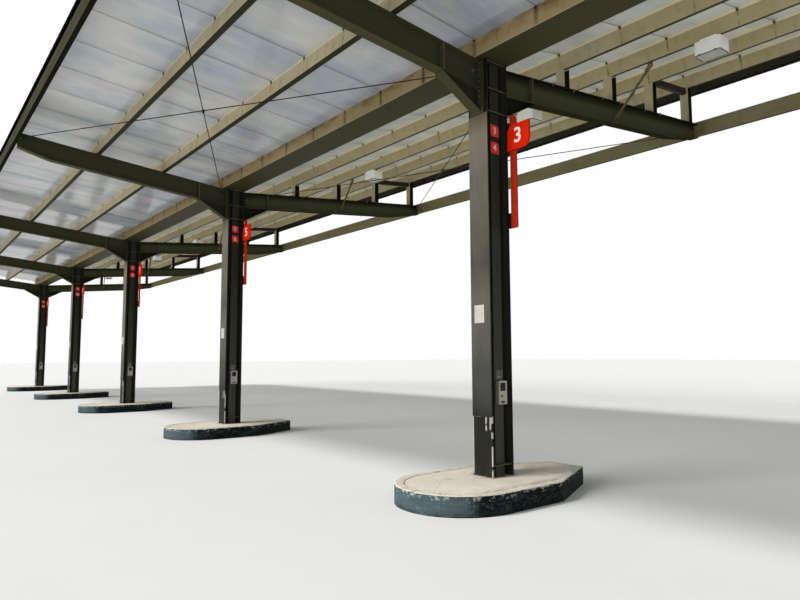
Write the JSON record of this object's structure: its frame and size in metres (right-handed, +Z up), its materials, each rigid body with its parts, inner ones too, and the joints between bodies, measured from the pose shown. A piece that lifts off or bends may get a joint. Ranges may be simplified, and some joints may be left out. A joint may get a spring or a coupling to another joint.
{
  "type": "filling station canopy",
  "caption": "Butterfly roof of clear ribbed sheets on a row of steel columns with cantilever arms, each column on a rounded concrete island, with blank signs and lamps.",
  "frame": {"origin": "on the ground under the middle of the first column", "axes": "+X across the row towards the longer and higher wing of the roof, +Y along the row of columns, +Z up"},
  "size_m": [9.4876, 38.02, 6.3627],
  "materials": {
    "kerb_paint": "worn dark blue-grey paint on concrete",
    "slab_concrete": "rough concrete",
    "dark_steel_paint": "faded olive-brown paint with rust",
    "light_steel_paint": "faded beige-olive paint with rust and streaks",
    "clear_sheet": "weathered ribbed translucent sheet",
    "bar_aluminium": "dull and dusty mill finish",
    "white_trim_paint": "white paint with dirt",
    "sign_red": "red plastic",
    "plate_red": "red enamel",
    "black_block": "black",
    "notice_white": "printed white plate, kept blank",
    "box_aluminium": "satin",
    "lamp_white": "white enamel",
    "lamp_glass": "clear glass over a dark inside"
  },
  "bodies": {
    "root": {"island_kerbs": "kerb_paint", "island_slabs": "slab_concrete", "columns": "dark_steel_paint", "column_tees": "dark_steel_paint", "column_plates": "light_steel_paint", "column_covers": "dark_steel_paint", "left_arms": "dark_steel_paint", "right_arms": "dark_steel_paint", "left_haunches": "dark_steel_paint", "right_haunches": "dark_steel_paint", "arm_stiffeners": "dark_steel_paint", "end_plates": "dark_steel_paint", "purlin_posts": "light_steel_paint", "post_struts": "light_steel_paint", "left_purlins": "light_steel_paint", "right_purlin_1": "light_steel_paint", "right_purlin_2": "light_steel_paint", "right_purlin_3": "light_steel_paint", "right_purlin_4": "light_steel_paint", "valley_gutter": "light_steel_paint", "gutter_aprons": "light_steel_paint", "left_tip_bar": "dark_steel_paint", "right_tip_bar": "light_steel_paint", "left_edge_channel": "dark_steel_paint", "right_edge_beam": "dark_steel_paint", "edge_trims": "white_trim_paint", "left_panels": "clear_sheet", "right_panels": "clear_sheet", "left_glazing_bars": "bar_aluminium", "right_glazing_bars": "bar_aluminium", "roof_rods": "dark_steel_paint", "purlin_stays": "dark_steel_paint", "number_plates": "plate_red", "lane_flags": "sign_red", "light_strips": "sign_red", "strip_brackets": "black_block", "notice_plates": "notice_white", "call_boxes": "box_aluminium", "lamp_housings": "lamp_white", "lamp_glasses": "lamp_glass", "lamp_brackets": "light_steel_paint"}
  },
  "joints": []
}
